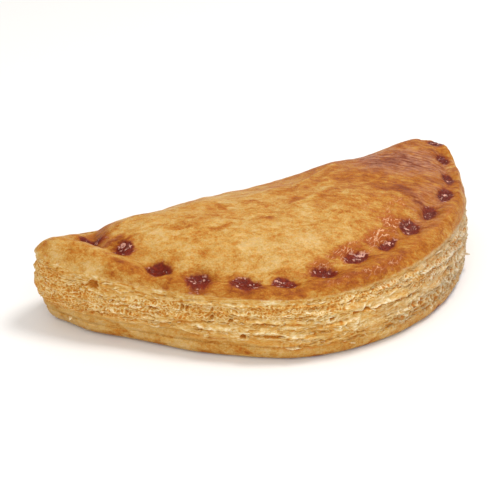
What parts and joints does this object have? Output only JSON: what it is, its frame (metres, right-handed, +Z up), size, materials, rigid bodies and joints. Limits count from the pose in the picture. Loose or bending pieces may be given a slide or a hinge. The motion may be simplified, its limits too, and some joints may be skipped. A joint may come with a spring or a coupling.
{
  "type": "puff pastry empanada",
  "caption": "Half-moon baked turnover with a straight fold, a crimped rim with dark dimples and a flaky layered cut edge.",
  "frame": {"origin": "middle of the bounding box, at the flat base the turnover rests on", "axes": "+X along the straight fold from tip to tip, -Y towards the curved cut edge, +Z up"},
  "size_m": [0.1587, 0.0783, 0.033],
  "materials": {
    "pastry": "baked, egg-washed top with a soft gloss, dull flaky edge"
  },
  "bodies": {
    "root": {"pastry": "pastry"}
  },
  "joints": []
}
